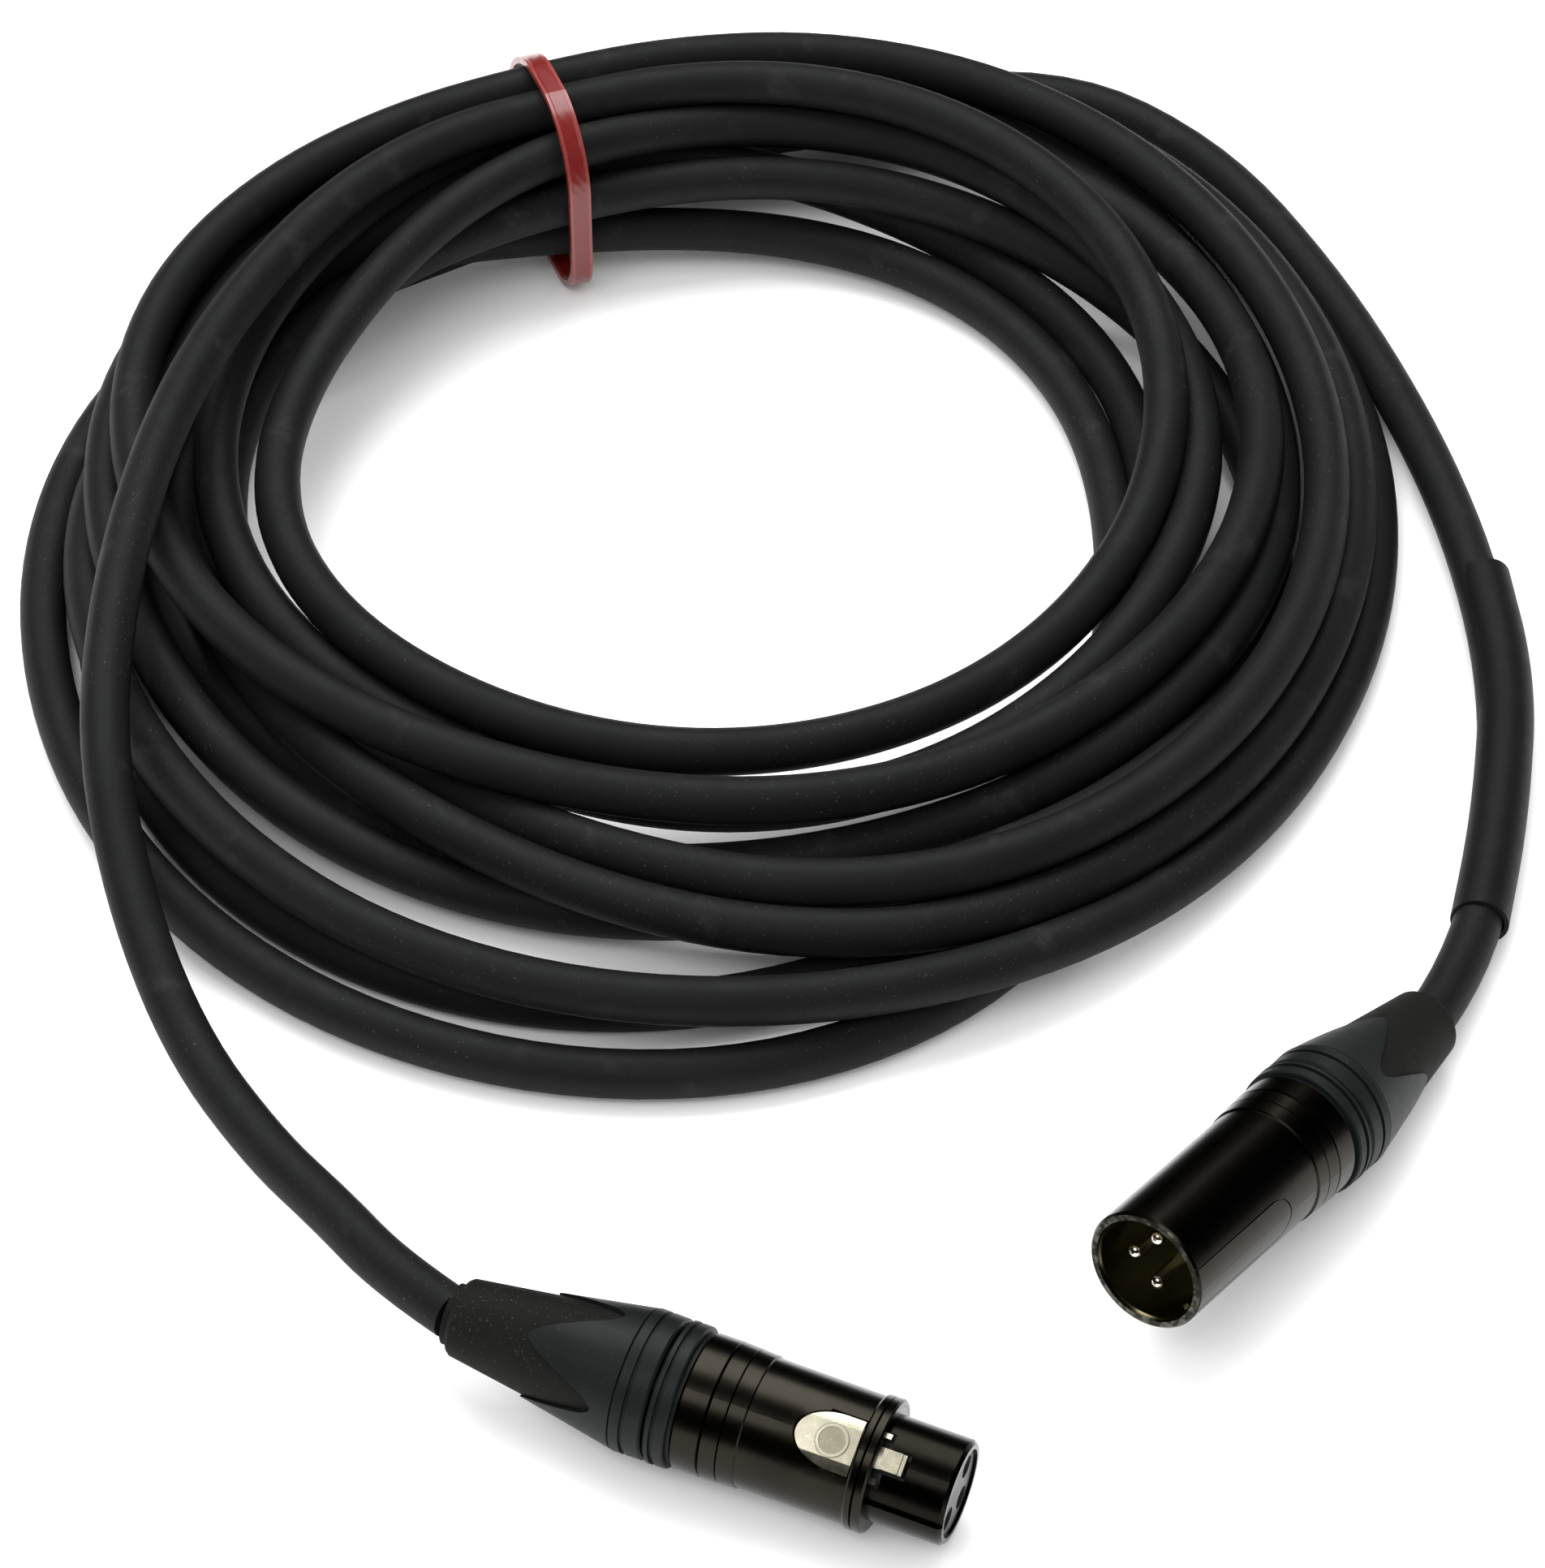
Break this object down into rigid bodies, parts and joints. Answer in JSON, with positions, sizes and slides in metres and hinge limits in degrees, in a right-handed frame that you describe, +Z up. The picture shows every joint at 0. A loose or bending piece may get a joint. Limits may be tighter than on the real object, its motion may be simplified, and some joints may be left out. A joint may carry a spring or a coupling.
{
  "type": "xlr cable coil",
  "caption": "Black microphone cable wound in a flat coil and held by a red tie, with a latching female XLR plug on one end and a male XLR plug on the other.",
  "frame": {"origin": "centre of the base of the whole bounding box, on the surface the coil lies on", "axes": "+Z up from the surface; -Y the way the male plug's mouth points; +X towards the plugs"},
  "size_m": [0.29, 0.3172, 0.0392],
  "materials": {
    "boot_rubber": "soft matte black rubber",
    "nut_plastic": "hard satin slate-black plastic",
    "ring_plastic": "hard satin slate-black plastic",
    "chuck_plastic": "white nylon",
    "cable_jacket": "matte black flexible jacket",
    "shell_metal": "gloss black metal",
    "insert_plastic": "black moulded plastic",
    "wire_shield": "tinned drain wire",
    "wire_hot": "red insulation",
    "wire_cold": "white insulation",
    "latch_metal": "satin nickel",
    "spring_steel": "spring steel",
    "contact_metal": "silver plate",
    "sleeve_rubber": "matte black heat-shrink sleeve",
    "tie_plastic": "glossy red nylon"
  },
  "bodies": {
    "cable_and_plugs": {"cable_coil": "cable_jacket", "cable_tail_female": "cable_jacket", "cable_tail_male": "cable_jacket", "cable_tie": "tie_plastic", "female_boot": "boot_rubber", "female_cable_end": "cable_jacket", "female_chuck": "chuck_plastic", "female_code_ring": "ring_plastic", "female_contact_1": "contact_metal", "female_contact_2": "contact_metal", "female_contact_3": "contact_metal", "female_front_ring": "shell_metal", "female_insert": "insert_plastic", "female_latch_spring": "spring_steel", "female_nut": "nut_plastic", "female_shell": "shell_metal", "female_wire_1": "wire_shield", "female_wire_2": "wire_hot", "female_wire_3": "wire_cold", "heat_shrink": "sleeve_rubber", "male_boot": "boot_rubber", "male_cable_end": "cable_jacket", "male_chuck": "chuck_plastic", "male_code_ring": "ring_plastic", "male_insert": "insert_plastic", "male_nut": "nut_plastic", "male_pin_1": "contact_metal", "male_pin_2": "contact_metal", "male_pin_3": "contact_metal", "male_shell": "shell_metal", "male_wire_1": "wire_shield", "male_wire_2": "wire_hot", "male_wire_3": "wire_cold"},
    "latch": {"female_latch": "latch_metal"}
  },
  "joints": [
    {"name": "latch_press", "type": "hinge", "parent": "cable_and_plugs", "child": "latch", "pos_m": [0.11093, -0.14276, 0.01764], "axis": [-0.1981, 0.8477, 0.4921], "range_deg": [0, 5.5], "stiffness_Nm_per_rad": 0.3, "springref_deg": -6.88, "deforming": ["female_latch_spring"]}
  ]
}
